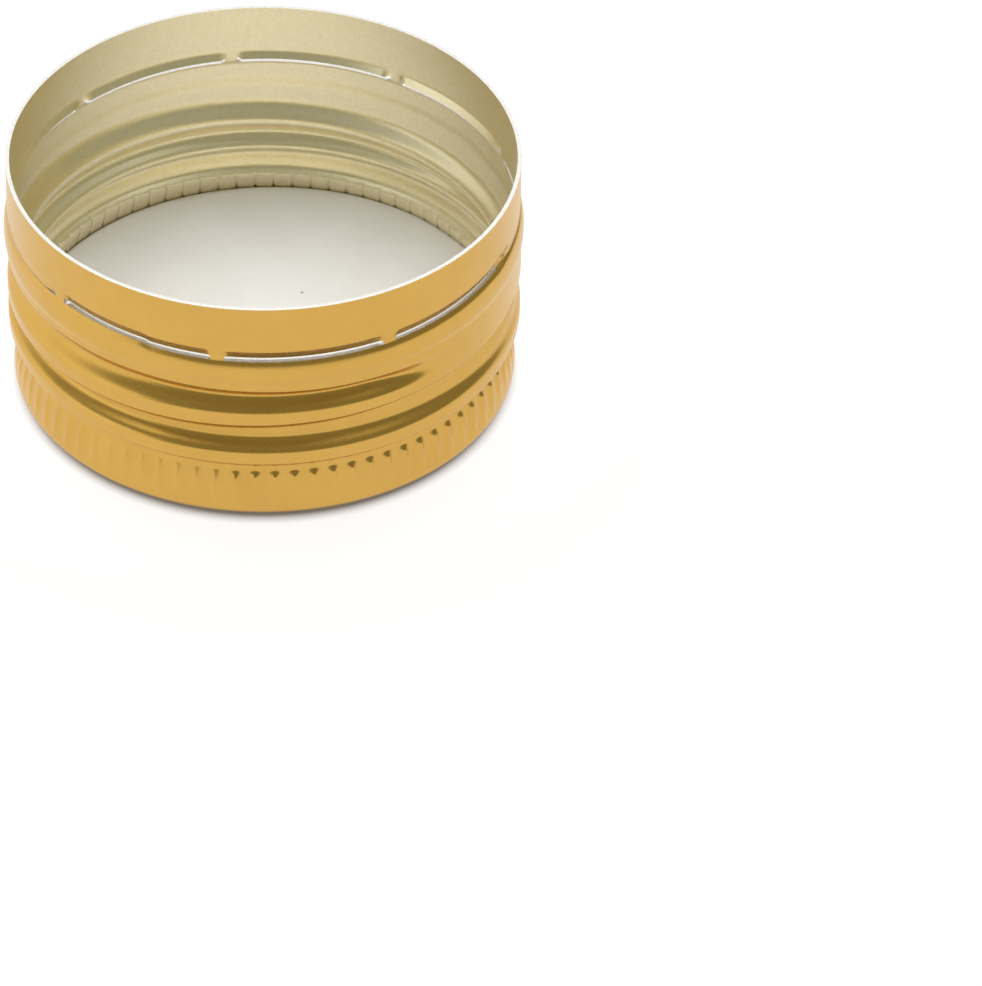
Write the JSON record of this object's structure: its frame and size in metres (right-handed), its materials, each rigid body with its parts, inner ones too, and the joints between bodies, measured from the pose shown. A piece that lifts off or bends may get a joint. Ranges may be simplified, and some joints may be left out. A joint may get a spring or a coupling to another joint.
{
  "type": "bottle cap",
  "caption": "Gold-lacquered aluminium roll-on screw cap standing mouth up, with rolled thread, knurled grip, slotted tamper band and a white liner disc.",
  "frame": {"origin": "centre of the panel's outer face, on which the cap stands; it is also the bottom centre of the box", "axes": "+Z is the cap's axis and points out of its mouth; +X is to the picture's right and -Y to its camera"},
  "size_m": [0.0288, 0.0288, 0.0146],
  "materials": {
    "lacquered_sheet": "satin gold lacquer outside, pale lacquer inside, bare cut edges",
    "liner": "matte white"
  },
  "bodies": {
    "root": {"shell": "lacquered_sheet", "liner": "liner"}
  },
  "joints": []
}
